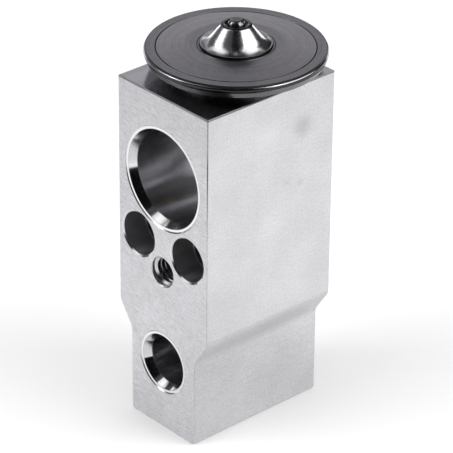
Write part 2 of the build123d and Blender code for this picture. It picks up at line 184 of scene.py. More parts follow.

# Direction of the milling marks on the port faces, and faint darker or lighter patches on the side
# (y, z, size, strength)
MILLING_TILT = -10.0
SIDE_PATCH_LEVELS = [
    (7.7, 62.0, 3.6, -0.2),
    (4.1, 51.6, 1.5, -0.09),
    (7.4, 50.4, 1.5, -0.09),
    (-0.9, 62.7, 4.5, 0.07),
    (0.0, 43.9, 5.0, 0.07),
    (8.1, 26.8, 5.0, 0.06),
]

# Painted shade: a dark line round the block's top edges, with the depths below its top where the
# line starts and is full, and one down the upright corners, which fades out between two heights
TOP_LINE_START, TOP_LINE_FULL = 0.4, 0.3
CORNER_LINE = 0.16
CORNER_FADE = (42.0, 62.0)

# Block's colours, and the bores' blue as a share of their grey
SIDE_TINT = (0.88, 0.88, 0.9)
PORT_FACE_TINT = (0.77, 0.765, 0.795)
# Ends' colour, darkened as painted shade for the top face under the head
END_SHADED_TINT = (0.58, 0.57, 0.61)
# Tints of the painted shade lines at the top edges and upright corners
TOP_SHADE_LINE_TINT = (0.16, 0.16, 0.17)
CORNER_SHADE_LINE_TINT = (0.08, 0.08, 0.085)
HOLE_TINT = (0.82, 0.82, 0.84)
HOLE_EDGE_TINT = (0.93, 0.93, 0.94)
# Painted shade: the bolt holes' floors, deep in their recesses, near black
HOLE_FLOOR_SHADE_TINT = (0.1, 0.1, 0.105)
UPRIGHT_TINT = (0.5, 0.5, 0.53)
LAND_TINT = (0.95, 0.95, 0.96)
LEAD_TINT = (0.9, 0.9, 0.91)
WALL_BLUE = 1.04

# Cover's colours with the tint of its painted shade, where painted shade darkens its cone towards
# the foot, and where the tip's dark ring of painted shade begins
DISC_TINT = (0.39, 0.38, 0.405)
CONE_TINT = (0.88, 0.88, 0.9)
COVER_SHADE_TINT = (0.03, 0.03, 0.033)
CONE_PAINTED_SHADE = (5.6, 6.5)
TIP_RING_FROM = (79.6, 79.9)

# Lower housing's colours, with painted shade on its dish and in its seam, and where its lip turns
# from painted shade to a painted highlight above the seam
LIP_TINT = (1.0, 0.98, 1.02)
DISH_SHADED_TINT = (0.2, 0.195, 0.205)
SEAM_SHADE_TINT = (0.015, 0.015, 0.015)
LIP_RISE = (0.42, 0.66)
LIP_SHADE_TO_HIGHLIGHT = (0.06, 0.66)

# Other metals, paint and rubber
STAINLESS = (0.6, 0.59, 0.61)
WIRE_TINT = (0.42, 0.41, 0.42)
THREAD_TINT = (0.72, 0.72, 0.74)
PLUG_TINTS = (0.004, 0.004, 0.004), (0.01, 0.01, 0.011)
RUBBER_TINTS = (0.018, 0.018, 0.019), (0.045, 0.045, 0.048)

# Range that a noise's values lie in, soft edges and slack of the masks, and how far a surface may
# turn from an axis and still count as facing it (1 less the normal's part)
NOISE_RANGE = (0.3, 0.7)
MASK_SOFT = 0.04
MASK_SLACK = 0.01
FACING_LIMIT = 0.1
FACING_SOFT = 0.06


class Tree:
    """Short calls that build the node tree of one material or of the world"""

    def __init__(self, tree):
        self.tree = tree

    def put(self, socket, value):
        if isinstance(value, bpy.types.NodeSocket):
            self.tree.links.new(value, socket)
        elif socket.type == "RGBA":
            socket.default_value = (*value, 1.0)
        else:
            socket.default_value = value

    def add(self, kind, inputs=None, output=0, **settings):
        node = self.tree.nodes.new(kind)
        for key, value in settings.items():
            setattr(node, key, value)
        for key, value in (inputs or {}).items():
            self.put(node.inputs[key], value)
        return node.outputs[output]

    def split(self, vector):
        """The three parts of a vector"""
        node = self.tree.nodes.new("ShaderNodeSeparateXYZ")
        self.put(node.inputs[0], vector)
        return node.outputs

    def math(self, operation, *values):
        """One operation over all the values, from the first to the last"""
        inputs = dict(enumerate(values[:2]))
        result = self.add("ShaderNodeMath", inputs, operation=operation)
        for value in values[2:]:
            result = self.math(operation, result, value)
        return result

    def times(self, *values):
        return self.math("MULTIPLY", *values)

    def plus(self, *values):
        return self.math("ADD", *values)

    def minus(self, a, b):
        return self.math("SUBTRACT", a, b)

    def flip(self, value):
        """1 less the value"""
        return self.minus(1.0, value)

    def most(self, values):
        """The largest of two or more values"""
        return self.math("MAXIMUM", *values)

    def absolute(self, value):
        return self.math("ABSOLUTE", value)

    def length(self, a, b):
        return self.math("SQRT", self.plus(self.times(a, a), self.times(b, b)))

    def spread(self, value, low, high, to_low=0.0, to_high=1.0):
        """Smooth step of a value from one range to another"""
        inputs = {"Value": value, "From Min": low, "From Max": high,
                  "To Min": to_low, "To Max": to_high}
        return self.add("ShaderNodeMapRange", inputs, interpolation_type="SMOOTHSTEP")

    def vary(self, noise, low, high):
        """A range of values that follows a noise"""
        return self.spread(noise, *NOISE_RANGE, low, high)

    def below(self, value, limit, soft):
        """1 where a value is under a limit, falling to 0 over a soft width"""
        return self.spread(value, limit - soft / 2, limit + soft / 2, 1.0, 0.0)

    def up_to(self, value, limit, soft=MASK_SOFT):
        """1 where a value is no more than a limit, falling to 0 just past it"""
        return self.below(value, limit + soft / 2, soft)

    def band(self, value, middle, half, soft):
        """1 within half a width of a middle, 0 outside"""
        return self.below(self.absolute(self.minus(value, middle)), half, soft)

    def vector(self, x, y, z):
        return self.add("ShaderNodeCombineXYZ", {"X": x, "Y": y, "Z": z})

    def scaled(self, vector, factor):
        inputs = {0: vector, "Scale": factor}
        return self.add("ShaderNodeVectorMath", inputs, operation="SCALE")

    def noise(self, vector, scale=1.0, detail=2.0, rough=0.5):
        inputs = {"Vector": vector, "Scale": scale, "Detail": detail, "Roughness": rough}
        return self.add("ShaderNodeTexNoise", inputs)

    def mix(self, factor, a, b):
        """Colour mix"""
        inputs = {"Factor": factor, 6: a, 7: b}
        return self.add("ShaderNodeMix", inputs, output=2, data_type="RGBA")

    def bump(self, height, distance, normal=None):
        inputs = {"Height": height, "Distance": distance, "Strength": 1.0}
        if normal is not None:
            inputs["Normal"] = normal
        return self.add("ShaderNodeBump", inputs)


class Finish(Tree):
    """One object material: its coordinates in millimetres and its shader"""

    def __init__(self, name):
        self.material = bpy.data.materials.new(name)
        self.material.use_nodes = True
        super().__init__(self.material.node_tree)
        self.shader = self.tree.nodes["Principled BSDF"]
        self.place = self.scaled(self.add("ShaderNodeTexCoord", output="Object"), 1 / MM)
        self.x, self.y, self.z = self.split(self.place)
        _, self.ny, self.nz = self.split(self.add("ShaderNodeTexCoord", output="Normal"))

    def radius(self):
        """Distance from the valve's own upright axis"""
        return self.length(self.x, self.minus(self.y, VALVE_AXIS_Y))

    def port_radius(self, x, z):
        return self.length(self.minus(self.x, x), self.minus(self.z, z))

    def stretched(self, x, y, z):
        """The place with each part scaled by itself, so that a noise is drawn out along one"""
        return self.vector(self.times(self.x, x), self.times(self.y, y), self.times(self.z, z))

    def facing(self, part):
        """1 where the surface faces one way or the other along an axis"""
        return self.below(self.flip(self.absolute(part)), FACING_LIMIT, FACING_SOFT)

    def set(self, **values):
        for key, value in values.items():
            self.put(self.shader.inputs[key.replace("_", " ")], value)
        return self.material


def turned_metal(name, base, rough, pitch=0.12, depth=0.006, stain=0.12):
    """Lathe-turned part: fine rings round the valve's axis, slight stains and uneven gloss"""
    finish = Finish(name)
    grooves = finish.noise(finish.vector(finish.radius(), 0.0, finish.z), 1 / pitch, 2.0, 0.6)
    patches = finish.noise(finish.place, 0.35, 4.0, 0.6)
    level = finish.plus(finish.vary(patches, 1 - stain, 1.0), finish.times(grooves, 0.12))
    gloss = finish.plus(finish.times(grooves, 0.12), finish.vary(patches, rough, rough - 0.06))
    return finish.set(Base_Color=finish.scaled(base, level), Roughness=gloss, Metallic=1.0,
                      Normal=finish.bump(grooves, depth * MM))


def seal_rubber():
    """Moulded black rubber with a little bloom and a fine grain"""
    finish = Finish("seal_rubber")
    grain = finish.noise(finish.place, 9.0, 3.0, 0.6)
    bloom = finish.noise(finish.place, 0.7, 3.0, 0.5)
    base = finish.mix(finish.spread(bloom, 0.45, 0.8), *RUBBER_TINTS)
    return finish.set(Base_Color=base, Roughness=finish.vary(grain, 0.45, 0.62), Metallic=0.0,
                      Normal=finish.bump(grain, 0.01 * MM))


def block_grain(finish):
    """Grains and clouds of the bar: drawn along Y on its sides, milled across on its port faces"""
    drawn = finish.noise(finish.stretched(4.0, 0.4, 4.0), 1.0, 3.0, 0.6)
    tilt = radians(MILLING_TILT)
    across = finish.plus(finish.times(finish.x, -sin(tilt)), finish.times(finish.z, cos(tilt)))
    along = finish.plus(finish.times(finish.x, cos(tilt)), finish.times(finish.z, sin(tilt)))
    marks = finish.vector(finish.times(along, 0.4), finish.times(across, 4.0), 0.0)
    milled = finish.noise(marks, 1.0, 3.0, 0.7)
    grain = finish.noise(finish.place, 2.4, 5.0, 0.8)
    cloud = finish.noise(finish.place, 0.09, 3.0, 0.55)
    return drawn, milled, grain, cloud


def painted_edge_shade(finish, base, cloud, on_end):
    """Painted shade: the dark lines round the block's top edges and down its upright corners"""
    top = finish.spread(finish.z, BLOCK_HEIGHT - TOP_LINE_START, BLOCK_HEIGHT - TOP_LINE_FULL)
    top = finish.times(top, finish.flip(on_end), 0.85)
    base = finish.mix(top, base, TOP_SHADE_LINE_TINT)
    from_corner = finish.length(finish.minus(finish.absolute(finish.x), BLOCK_HALF_WIDTH),
                                finish.minus(finish.absolute(finish.y), BLOCK_HALF_DEPTH))
    corner_shade = finish.times(finish.below(from_corner, CORNER_LINE, 0.06),
                          finish.spread(finish.z, *CORNER_FADE),
                          finish.spread(cloud, 0.35, 0.6, 0.45, 0.9))
    return finish.mix(corner_shade, base, CORNER_SHADE_LINE_TINT)


def block_outside(finish, drawn, milled, grain, cloud):
    """Colour and roughness of the bar's sides, port faces and ends"""
    on_port_face, on_end = finish.facing(finish.ny), finish.facing(finish.nz)
    side_patches = []
    for y, z, size, depth in SIDE_PATCH_LEVELS:
        away = finish.length(finish.minus(finish.y, y), finish.minus(finish.z, z))
        side_patches.append(finish.spread(away, 0.0, size, depth, 0.0))
    side_level = finish.plus(finish.vary(cloud, 0.95, 1.03), finish.vary(drawn, -0.04, 0.02),
                             finish.spread(grain, 0.38, 0.62, -0.12, 0.05), *side_patches)
    port_level = finish.plus(finish.vary(milled, 0.86, 1.12), finish.vary(cloud, -0.04, 0.04),
                             finish.spread(grain, 0.38, 0.62, -0.12, 0.08))
    base = finish.mix(on_port_face, finish.scaled(SIDE_TINT, side_level),
                      finish.scaled(PORT_FACE_TINT, port_level))
    # The ends are darkened as painted shade, and the edges get lines of painted shade
    base = finish.mix(on_end, base, finish.scaled(END_SHADED_TINT, finish.vary(milled, 0.85, 1.0)))
    base = painted_edge_shade(finish, base, cloud, on_end)
    rough = finish.plus(finish.vary(grain, 0.36, 0.44), finish.times(on_port_face, -0.04),
                        finish.times(on_end, -0.19))
    return base, rough, on_port_face


def on_side(finish, side):
    """1 on the half of the block that a port opens to"""
    if side == 0:
        return 1.0
    return finish.math("GREATER_THAN", finish.times(finish.y, side), 0.0)


def bore_depth(finish):
    return finish.minus(BLOCK_HALF_DEPTH, finish.absolute(finish.y))


def bore_masks(finish):
    """Where each finish inside the holes lies: ports' walls, lead-ins and lands, bolt holes'
    edges and floors, and the walls of the other holes and of the upright bores"""
    depth = bore_depth(finish)
    inside = finish.spread(depth, 0.01, 0.03)
    walls, lands, leads = {}, [], []
    for name, (x, z, bore, side, _) in PORTS.items():
        radius = finish.port_radius(x, z)
        here = on_side(finish, side)
        lead = bore + PORT_LEAD_FLARE
        outer = lead + PORT_LAND_WIDTH + PORT_EDGE_FLARE
        walls[name] = finish.times(here, finish.up_to(radius, bore + MASK_SLACK))
        leads.append(finish.times(here, finish.up_to(radius, lead - 0.02, 0.02)))
        lands.append(finish.times(here, finish.up_to(radius, outer)))
    holes = [finish.up_to(finish.port_radius(x, z), mouth)
             for x, z, mouth in [*BOLT_MOUTHS, TAPPED_MOUTH]]
    edges, floors = [], []
    for x, z, mouth in BOLT_MOUTHS:
        radius = finish.port_radius(x, z)
        past_head = finish.spread(radius, BOLT_HEAD_RADIUS + 0.01, BOLT_HEAD_RADIUS + 0.03)
        edges.append(finish.times(past_head, finish.up_to(radius, mouth)))
        # Painted shade on each bolt hole's floor
        floors.append(finish.times(finish.below(radius, BOLT_HEAD_RADIUS - 0.14, 0.06),
                                   finish.band(depth, BOLT_HEAD_DEPTH + 0.05, 0.1, 0.04)))
    high = finish.spread(finish.z, NECK_POCKET_FLOOR - 0.5, NECK_POCKET_FLOOR)
    widening = finish.times(high, NECK_POCKET_RADIUS - SCREW_BORE_RADIUS)
    within = finish.math("LESS_THAN", finish.radius(), finish.plus(SCREW_BORE_RADIUS, widening))
    walls["upright"] = finish.times(within, finish.spread(finish.z, 0.01, 0.03),
                                    finish.below(finish.z, BLOCK_HEIGHT - 0.02, 0.02))
    masks = {"hole": finish.most(holes), "edge": finish.most(edges), "floor": finish.most(floors),
             "land": finish.most(lands), "lead": finish.most(leads), **walls}
    return {name: finish.times(inside, mask) for name, mask in masks.items()}


def port_edges(finish):
    """Height that turns the ports' narrow edge facets a little steeper"""
    total = 0.0
    for x, z, bore, side, _ in PORTS.values():
        inner = bore + PORT_LEAD_FLARE + PORT_LAND_WIDTH
        rise = PORT_EDGE_FLARE * tan(radians(PORT_EDGE_TILT))
        inputs = {"Value": finish.port_radius(x, z), "From Min": inner,
                  "From Max": inner + PORT_EDGE_FLARE, "To Min": 0.0, "To Max": rise}
        height = finish.add("ShaderNodeMapRange", inputs)
        total = finish.plus(total, finish.times(height, on_side(finish, side)))
    return finish.times(finish.below(bore_depth(finish), 0.12, 0.02), total)


def wall_shades(finish):
    """Tool rings on the holes' walls, the walls' uneven level with lengthwise streaks of painted
    sheen, and the colours of the uprights and of each port's bore, whose grey is lowered as painted
    shade in the narrow bores and which has bands of painted sheen along it"""
    rings = finish.noise(finish.stretched(0.0, 9.0, 0.0), 1.0, 3.0, 0.6)
    # Painted sheen: light and dark lengthwise streaks of painted reflection on every hole's wall
    lengthwise = finish.noise(finish.stretched(0.3, 0.03, 0.3), 1.0, 3.0, 0.55)
    level = finish.times(finish.vary(rings, 0.8, 1.0), finish.vary(lengthwise, 0.82, 1.06))
    shades = {"upright": finish.scaled(UPRIGHT_TINT, level)}
    for name, (_, z, bore, _, grey) in PORTS.items():
        height = finish.times(finish.minus(finish.z, z), 1 / bore)
        # Painted sheen: lighter bands of painted reflection at set heights on each bore's wall
        sheen_band = finish.most([finish.band(height, *sheen_band) for sheen_band in WALL_SHEEN_BANDS])
        bright = finish.plus(WALL_SHEEN_BASE, finish.times(sheen_band, 1 - WALL_SHEEN_BASE))
        # Each bore's grey, lower in the narrow bores as painted shade
        tint = (grey, grey, grey * WALL_BLUE)
        shades[name] = finish.scaled(tint, finish.times(level, bright))
    return rings, level, shades


def block_metal():
    """Aluminium bar: drawn sides, milled port faces, sawn ends darkened as painted shade, bright
    lands, duller bores with painted shade and painted sheen, and lines of painted shade on its
    edges
    """
    finish = Finish("block_aluminium")
    drawn, milled, grain, cloud = block_grain(finish)
    base, rough, on_port_face = block_outside(finish, drawn, milled, grain, cloud)
    masks = bore_masks(finish)
    rings, level, shades = wall_shades(finish)
    finishes = {
        "hole": (finish.scaled(HOLE_TINT, level), 0.3),
        "edge": (finish.scaled(HOLE_EDGE_TINT, finish.vary(grain, 0.95, 1.0)), 0.14),
        "floor": (finish.scaled(HOLE_FLOOR_SHADE_TINT, finish.vary(rings, 0.8, 1.0)), 0.4),
        "land": (finish.scaled(LAND_TINT, finish.vary(grain, 0.97, 1.0)), 0.2),
        "lead": (finish.scaled(LEAD_TINT, finish.vary(rings, 0.94, 1.0)), 0.13),
        **{name: (shade, 0.27) for name, shade in shades.items()},
    }
    for name, (shade, gloss) in finishes.items():
        mask = masks[name]
        base = finish.mix(mask, base, shade)
        rough = finish.plus(finish.times(rough, finish.flip(mask)), finish.times(mask, gloss))
    machined = finish.most(list(masks.values()))

    outside = finish.plus(finish.times(grain, 0.35), finish.times(milled, on_port_face, 0.65))
    height = finish.plus(finish.times(outside, finish.flip(machined)),
                         finish.times(rings, machined, 0.4))
    normal = finish.bump(port_edges(finish), 1.0 * MM, finish.bump(height, 0.012 * MM))
    across = finish.vector(0.0, finish.flip(on_port_face), on_port_face)
    return finish.set(Base_Color=base, Roughness=rough, Metallic=1.0, Normal=normal,
                      Anisotropic=0.8, Tangent=across)


def disc_level(finish, radius, rings, streaks):
    """Brightness of the cover's disc: turned bands and rings, arcs, specks, broken dark arcs just
    outside the crown's edge, and painted shade inside the crown
    """
    bands = finish.noise(finish.vector(radius, 0.0, 0.0), 0.9, 2.0, 0.5)
    speck = finish.noise(finish.place, 4.0, 4.0, 0.75)
    round_the_axis = finish.vector(finish.times(radius, 6.0), finish.times(finish.x, 0.12),
                                   finish.times(finish.y, 0.12))
    arcs = finish.noise(round_the_axis, 1.0, 3.0, 0.7)
    level = finish.plus(finish.vary(bands, 0.92, 1.02), finish.vary(rings, -0.07, 0.07),
                        finish.spread(arcs, 0.35, 0.65, -0.1, 0.08),
                        finish.vary(streaks, -0.07, 0.05), finish.vary(speck, -0.16, 0.14),
                        finish.spread(radius, GROOVE_RADIUS, GROOVE_RADIUS + 0.2, 0.0, -0.2))
    # Painted shade: the disc is darker inside the crown, round the cone
    crown = finish.spread(radius, CROWN_RADIUS - 0.3, CROWN_RADIUS + 0.1, 0.84, 1.0)
    # Broken dark arcs just outside the crown's edge
    dark_arcs = finish.times(finish.band(radius, CROWN_RADIUS + 0.4, 0.05, 0.06),
                          finish.spread(arcs, 0.45, 0.6), -0.55)
    return finish.plus(finish.times(level, crown), dark_arcs)


def cover_painted_shade(finish, radius, near_foot):
    """Painted shade on the cover: how dark it is painted in its grooves, round the crown, under its
    cone, at its edge and at the cone's tip
    """
    shadow_below_cone = finish.times(near_foot, finish.below(finish.z, CONE_FOOT_HEIGHT - 0.03, 0.05))
    shaded_edge = finish.times(finish.spread(radius, COVER_RADIUS - 0.19, COVER_RADIUS - 0.14),
                           finish.below(finish.z, COVER_TOP + 0.05, 0.02))
    shaded_tip = finish.times(finish.below(radius, CONE_TIP_RADIUS + 0.1, 0.3),
                          finish.spread(finish.z, *TIP_RING_FROM))
    tip_ring = finish.band(radius, CONE_TIP_INNER_RADIUS, 0.05, 0.05)
    return finish.most([
        finish.times(finish.band(radius, GROOVE_RADIUS - 0.02, 0.12, 0.05), 0.97),
        finish.times(finish.band(radius, CROWN_RADIUS, 0.05, 0.2), 0.2),
        finish.times(finish.band(radius, FOOT_GROOVE_RADIUS, 0.09, 0.05), 0.6),
        finish.times(shadow_below_cone, 0.93),
        finish.times(shaded_edge, 0.98),
        finish.times(shaded_tip, finish.spread(tip_ring, 0.0, 1.0, 0.97, 0.6)),
    ])


def cover_metal():
    """Satin stainless disc with turned bands and painted shade in its grooves and at its edge, and
    a polished cone with painted shade at its foot and round its tip
    """
    finish = Finish("cover_stainless")
    radius = finish.radius()
    rings = finish.noise(finish.vector(radius, 0.0, 0.0), 9.0, 3.0, 0.75)
    streaks = finish.noise(finish.stretched(0.5, 0.5, 0.0), 1.0, 4.0, 0.6)
    # Painted shade: the cone darkens towards its foot
    cone_level = finish.times(finish.vary(streaks, 0.93, 1.0),
                              finish.spread(radius, *CONE_PAINTED_SHADE, 1.0, 0.45))
    near_foot = finish.up_to(radius, CONE_FOOT_RADIUS + MASK_SLACK)
    on_cone = finish.times(near_foot,
                           finish.spread(finish.z, CONE_FOOT_HEIGHT - 0.05, CONE_FOOT_HEIGHT))
    base = finish.mix(on_cone, finish.scaled(DISC_TINT, disc_level(finish, radius, rings, streaks)),
                      finish.scaled(CONE_TINT, cone_level))
    # Painted shade in the grooves, round the crown, under the cone, at the edge and at the tip
    base = finish.mix(cover_painted_shade(finish, radius, near_foot), base, COVER_SHADE_TINT)
    rough = finish.plus(finish.times(on_cone, -0.16), finish.vary(streaks, 0.31, 0.37))
    return finish.set(Base_Color=base, Roughness=rough, Metallic=1.0,
                      Normal=finish.bump(rings, 0.008 * MM))


def housing_metal():
    """Polished rolled lip, with painted shade low on its flank and a painted highlight on its top,
    black with painted shade in its seam, over a duller pressed dish darkened as painted shade
    """
    finish = Finish("housing_polished")
    radius = finish.radius()
    rolled = finish.noise(finish.vector(radius, 0.0, finish.z), 5.0, 2.0, 0.6)
    patches = finish.noise(finish.place, 0.35, 4.0, 0.6)
    streaks = finish.noise(finish.stretched(0.4, 0.4, 5.0), 1.0, 3.0, 0.6)
    level = finish.plus(finish.vary(patches, 0.9, 1.0), finish.vary(streaks, -0.12, 0.04))
    # Painted shade in the seam under the lip
    seam_shade = finish.times(finish.band(finish.z, SEAM_HEIGHT, 0.1, 0.06),
                           finish.below(radius, HOUSING_RIM_RADIUS - 0.08, 0.06))
    # Painted shade low on the lip's flank, rising to a painted highlight on its top
    dark_to, bright_from = LIP_RISE
    grey = finish.spread(finish.z, SEAM_HEIGHT + dark_to, SEAM_HEIGHT + bright_from, *LIP_SHADE_TO_HIGHLIGHT)
    below_seam = finish.below(finish.z, SEAM_HEIGHT, 0.05)
    # The dish's colour is darkened as painted shade
    base = finish.mix(below_seam, finish.scaled(LIP_TINT, finish.times(level, grey)),
                      finish.scaled(DISH_SHADED_TINT, level))
    base = finish.mix(seam_shade, base, SEAM_SHADE_TINT)
    rough = finish.plus(finish.vary(streaks, 0.12, 0.2), finish.times(below_seam, 0.1))
    return finish.set(Base_Color=base, Roughness=rough, Metallic=1.0,
                      Normal=finish.bump(rolled, 0.004 * MM))


def plug_paint():
    """Gloss black paint, duller on the plug's flat top"""
    finish = Finish("plug_black")
    speck = finish.noise(finish.place, 6.0, 4.0, 0.6)
    on_flat = finish.spread(finish.nz, 0.95, 0.99)
    rough = finish.plus(finish.vary(speck, 0.06, 0.1), finish.times(on_flat, 0.4))
    base = finish.mix(speck, *PLUG_TINTS)
    return finish.set(Base_Color=base, Roughness=rough, Metallic=0.0, IOR=3.0,
                      Normal=finish.bump(speck, 0.003 * MM))


def wire_metal():
    """Drawn spring wire with lengthwise die lines"""
    finish = Finish("spring_wire")
    across = finish.vector(finish.times(finish.radius(), 14.0), 0.0, finish.times(finish.z, 14.0))
    lines = finish.noise(across, 1.0, 2.0)
    patches = finish.noise(finish.place, 0.8, 3.0, 0.6)
    base = finish.scaled(WIRE_TINT, finish.vary(patches, 0.85, 1.0))
    return finish.set(Base_Color=base, Roughness=finish.vary(lines, 0.22, 0.34), Metallic=1.0,
                      Normal=finish.bump(lines, 0.01 * MM))


def thread_metal():
    """The tapped hole's thread: bright cut flanks with tap marks round the hole's own axis"""
    finish = Finish("thread_aluminium")
    radius = finish.port_radius(TAPPED_MOUTH[0], TAPPED_MOUTH[1])
    round_the_hole = finish.vector(finish.times(radius, 12.0), finish.times(finish.y, 12.0), 0.0)
    marks = finish.noise(round_the_hole, 1.0, 3.0, 0.6)
    base = finish.scaled(THREAD_TINT, finish.vary(marks, 0.85, 1.0))
    return finish.set(Base_Color=base, Roughness=finish.vary(marks, 0.16, 0.26), Metallic=1.0,
                      Normal=finish.bump(marks, 0.008 * MM))


def dress():
    """Every CAD node gets its material"""
    finishes = {
        "valve_body": block_metal(),
        "upper_housing": cover_metal(),
        "charge_plug": plug_paint(),
        "lower_housing": housing_metal(),
        "threaded_neck": turned_metal("neck_steel", (0.5, 0.49, 0.5), 0.3),
        "diaphragm": turned_metal("diaphragm_sheet", STAINLESS, 0.24, 0.2, 0.003),
        "diaphragm_plate": turned_metal("plate_brass", (0.68, 0.55, 0.33), 0.32),
        "sensing_rod": turned_metal("rod_aluminium", (0.75, 0.75, 0.77), 0.3, 0.1),
        "push_pin": turned_metal("pin_steel", STAINLESS, 0.2, 0.1, 0.003),
        "valve_ball": turned_metal("ball_steel", (0.66, 0.66, 0.68), 0.12, 0.4, 0.001, 0.05),
        "ball_carrier": turned_metal("carrier_brass", (0.7, 0.56, 0.32), 0.3),
        "damper_spring": turned_metal("damper_sheet", (0.62, 0.58, 0.5), 0.26, 0.2, 0.003),
        "adjusting_screw": turned_metal("screw_brass", (0.72, 0.57, 0.31), 0.3, 0.14, 0.008),
        "seal_washer": turned_metal("washer_steel", (0.5, 0.5, 0.51), 0.32),
        "seal_retainer": turned_metal("retainer_steel", (0.45, 0.44, 0.45), 0.28, 0.2, 0.004),
        "superheat_spring": wire_metal(),
    }
    finishes |= dict.fromkeys(["screw_seal_ring", "rod_seal_ring", "head_seal_ring"],
                              seal_rubber())
    for node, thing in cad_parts.items():
        for slot in thing.material_slots:
            slot.material = finishes[node]
    return finishes


def place_object(name, data):
    thing = bpy.data.objects.new(name, data)
    bpy.context.scene.collection.objects.link(thing)
    return thing


def mesh_object(name, vertices, faces, material, smooth=True):
    mesh = bpy.data.meshes.new(name)
    mesh.from_pydata([Vector(v) * MM for v in vertices], [], faces)
    mesh.validate()
    mesh.update()
    for polygon in mesh.polygons:
        polygon.use_smooth = smooth
    mesh.materials.append(material)
    return place_object(name, mesh)


def strips(rings, count, closed):
    """Faces that join rings of points to their neighbours, each ring closed on itself"""
    faces = []
    for i in range(rings if closed else rings - 1):
        a, b = count * i, count * ((i + 1) % rings)
        for j in range(count):
            k = (j + 1) % count
            faces.append((a + j, a + k, b + k, b + j))
    return faces


def face_outwards(thing):
    cleaner = bmesh.new()
    cleaner.from_mesh(thing.data)
    bmesh.ops.recalc_face_normals(cleaner, faces=cleaner.faces)
    cleaner.to_mesh(thing.data)
    cleaner.free()


def tapped_thread():
    """Helical ridge of the M6 thread, standing on the hole's wall and fading out at both ends"""
    base_half = THREAD_ROOT_SHARE * THREAD_PITCH
    crest_half = THREAD_CREST_SHARE * THREAD_PITCH
    root = THREAD_MAJOR + THREAD_BITE
    turns = (THREAD_END - THREAD_START) / THREAD_PITCH
    steps = int(turns * THREAD_STEPS)
    runout = THREAD_RUNOUT * THREAD_STEPS
    first = -BLOCK_HALF_DEPTH + THREAD_START + base_half
    x0, z0, _ = TAPPED_MOUTH
    vertices = []
    for i in range(steps + 1):
        angle = tau * i / THREAD_STEPS
        along = first + THREAD_PITCH * i / THREAD_STEPS
        fade = min(1.0, i / runout, (steps - i) / runout)
        crest = root - (root - THREAD_MINOR) * max(fade, THREAD_LEAST)
        for radius, offset in ((root, -base_half), (crest, -crest_half),
                               (crest, crest_half), (root, base_half)):
            vertices.append((x0 + radius * cos(angle), along + offset, z0 + radius * sin(angle)))
    end = 4 * steps
    faces = strips(steps + 1, 4, closed=False)
    faces += [(0, 3, 2, 1), (end, end + 1, end + 2, end + 3)]
    thing = mesh_object("tapped_hole_thread", vertices, faces, thread_metal(), smooth=False)
    face_outwards(thing)
    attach(thing, "block")


def rolled_housing(material):
    """Lower housing of the head, turned with the lip that is rolled up round the cover's edge"""
    middle = (SEAM_HEIGHT + HOUSING_LIP_TOP) / 2
    half_height = (HOUSING_LIP_TOP - SEAM_HEIGHT) / 2
    centre = HOUSING_RIM_RADIUS - LIP_HALF_WIDTH
    lip = [(centre + LIP_HALF_WIDTH * cos(radians(t)), middle + half_height * sin(radians(t)))
           for t in LIP_ANGLES]
    seam = [(HOUSING_RIM_RADIUS - inwards, SEAM_HEIGHT - down)
            for inwards, down in [(SEAM_DEPTH, 0.0), *SEAM_FOOT]]
    profile = HOUSING_DISH + lip + seam
    vertices = []
    for i in range(HOUSING_SEGMENTS):
        angle = tau * i / HOUSING_SEGMENTS
        for radius, height in profile:
            vertices.append((radius * cos(angle), VALVE_AXIS_Y + radius * sin(angle), height))
    faces = strips(HOUSING_SEGMENTS, len(profile), closed=True)
    thing = mesh_object("rolled_lower_housing", vertices, faces, material)
    face_outwards(thing)
    thing.data.set_sharp_from_angle(angle=radians(HOUSING_SHARP_ANGLE))
    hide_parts("lower_housing")
    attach(thing, "block")


def half_spring(name, material, middle, keep_low):
    """One half of the superheat spring, cut level at its middle, with the cut closed"""
    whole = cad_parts["superheat_spring"]
    cutter = bmesh.new()
    cutter.from_mesh(whole.data)
    cutter.transform(whole.matrix_world)
    bmesh.ops.remove_doubles(cutter, verts=cutter.verts, dist=SPRING_WELD * MM)
    bmesh.ops.bisect_plane(cutter, geom=[*cutter.verts, *cutter.edges, *cutter.faces],
                           plane_co=(0, 0, middle), plane_no=(0, 0, 1),
                           clear_outer=keep_low, clear_inner=not keep_low)
    cut_edges = [edge for edge in cutter.edges if edge.is_boundary]
    bmesh.ops.holes_fill(cutter, edges=cut_edges, sides=0)
    mesh = bpy.data.meshes.new(name)
    cutter.to_mesh(mesh)
    cutter.free()
    mesh.materials.append(material)
    for polygon in mesh.polygons:
        polygon.material_index = 0
        polygon.use_smooth = True
    mesh.set_sharp_from_angle(angle=radians(SPRING_SHARP_ANGLE))
    return place_object(name, mesh)


def split_spring(material):
    """Superheat spring in two halves that meet in the block: the lower ends on the adjusting screw,
    the upper ends on the stem"""
    low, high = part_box("superheat_spring")
    middle = (low[2] + high[2]) / 2
    coil, axis = SPRING_END_COIL * MM, VALVE_AXIS_Y * MM
    for name, body, end, keep_low in (("spring_lower_half", "screw_seal", low[2] + coil, True),
                                      ("spring_upper_half", "stem", high[2] - coil, False)):
        half = half_spring(name, material, middle, keep_low)
        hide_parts("superheat_spring")
        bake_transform(half)


def direction(azimuth, elevation):
    """Unit vector towards an azimuth, counted from the camera's, and an elevation, in degrees"""
    a, e = radians(CAMERA_AZIMUTH + azimuth), radians(elevation)
    return Vector((sin(a) * cos(e), -cos(a) * cos(e), sin(e)))


